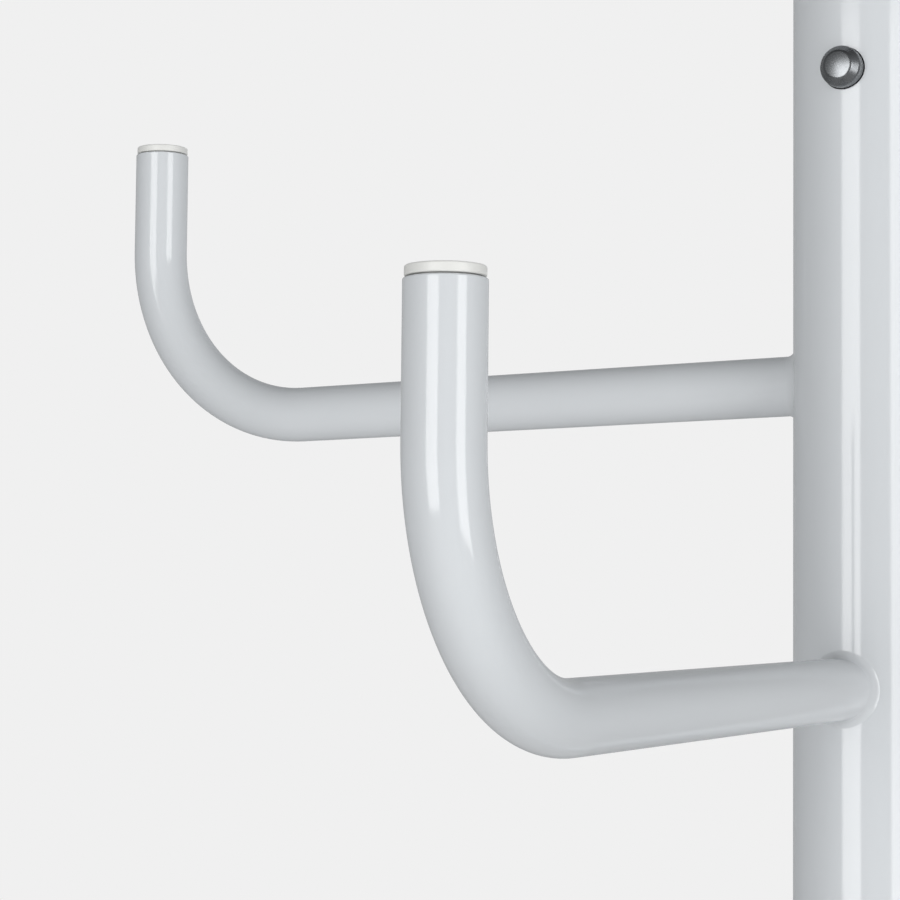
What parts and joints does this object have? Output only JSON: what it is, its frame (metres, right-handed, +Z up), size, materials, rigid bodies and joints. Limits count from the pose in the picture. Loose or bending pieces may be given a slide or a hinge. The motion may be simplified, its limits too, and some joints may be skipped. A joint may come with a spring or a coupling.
{
  "type": "standing coat rack",
  "caption": "Tall sectional steel pole on four bent tube legs, with opposed pairs of J-shaped tube hooks and sprung buttons that lock the sections.",
  "frame": {"origin": "on the floor under the pole's axis", "axes": "+Z up along the pole; -Y towards the front hooks, where the snap buttons are; +X towards the right hooks"},
  "size_m": [0.552, 0.552, 1.7971],
  "materials": {
    "powder_coated_steel": "glossy pale cool grey powder coat",
    "zinc_plated_steel": "bright zinc plate",
    "chrome_plate": "polished",
    "spring_steel": "oiled spring steel",
    "warm_white_plastic": "moulded, fine matt",
    "grey_plastic": "moulded, matt"
  },
  "bodies": {
    "stand": {"lower_pole_tube": "powder_coated_steel", "middle_pole_tube": "powder_coated_steel", "upper_pole_tube": "powder_coated_steel", "lower_joint_sleeve": "zinc_plated_steel", "lower_button_spring": "spring_steel", "upper_joint_sleeve": "zinc_plated_steel", "upper_button_spring": "spring_steel", "pole_top_cap": "warm_white_plastic", "pole_bottom_cap": "grey_plastic", "middle_front_hook": "powder_coated_steel", "middle_front_hook_plug": "warm_white_plastic", "middle_back_hook": "powder_coated_steel", "middle_back_hook_plug": "warm_white_plastic", "middle_left_hook": "powder_coated_steel", "middle_left_hook_plug": "warm_white_plastic", "middle_right_hook": "powder_coated_steel", "middle_right_hook_plug": "warm_white_plastic", "upper_front_hook": "powder_coated_steel", "upper_front_hook_plug": "warm_white_plastic", "upper_back_hook": "powder_coated_steel", "upper_back_hook_plug": "warm_white_plastic", "upper_left_hook": "powder_coated_steel", "upper_left_hook_plug": "warm_white_plastic", "upper_right_hook": "powder_coated_steel", "upper_right_hook_plug": "warm_white_plastic", "right_leg": "powder_coated_steel", "right_leg_plate": "powder_coated_steel", "right_foot": "grey_plastic", "right_leg_lower_bolt": "zinc_plated_steel", "right_leg_lower_nut": "zinc_plated_steel", "right_leg_upper_bolt": "zinc_plated_steel", "right_leg_upper_nut": "zinc_plated_steel", "back_leg": "powder_coated_steel", "back_leg_plate": "powder_coated_steel", "back_foot": "grey_plastic", "back_leg_lower_bolt": "zinc_plated_steel", "back_leg_lower_nut": "zinc_plated_steel", "back_leg_upper_bolt": "zinc_plated_steel", "back_leg_upper_nut": "zinc_plated_steel", "left_leg": "powder_coated_steel", "left_leg_plate": "powder_coated_steel", "left_foot": "grey_plastic", "left_leg_lower_bolt": "zinc_plated_steel", "left_leg_lower_nut": "zinc_plated_steel", "left_leg_upper_bolt": "zinc_plated_steel", "left_leg_upper_nut": "zinc_plated_steel", "front_leg": "powder_coated_steel", "front_leg_plate": "powder_coated_steel", "front_foot": "grey_plastic", "front_leg_lower_bolt": "zinc_plated_steel", "front_leg_lower_nut": "zinc_plated_steel", "front_leg_upper_bolt": "zinc_plated_steel", "front_leg_upper_nut": "zinc_plated_steel"},
    "lower_button": {"lower_snap_button": "chrome_plate"},
    "upper_button": {"upper_snap_button": "chrome_plate"}
  },
  "joints": [
    {"name": "lower_button_slide", "type": "slide", "parent": "stand", "child": "lower_button", "axis": [-0.0349, 0.9994, 0], "range_m": [0, 0.0072], "stiffness_N_per_m": 800, "springref_m": -0.004, "deforming": ["lower_button_spring"]},
    {"name": "upper_button_slide", "type": "slide", "parent": "stand", "child": "upper_button", "axis": [-0.0349, 0.9994, 0], "range_m": [0, 0.0072], "stiffness_N_per_m": 800, "springref_m": -0.004, "deforming": ["upper_button_spring"]}
  ]
}
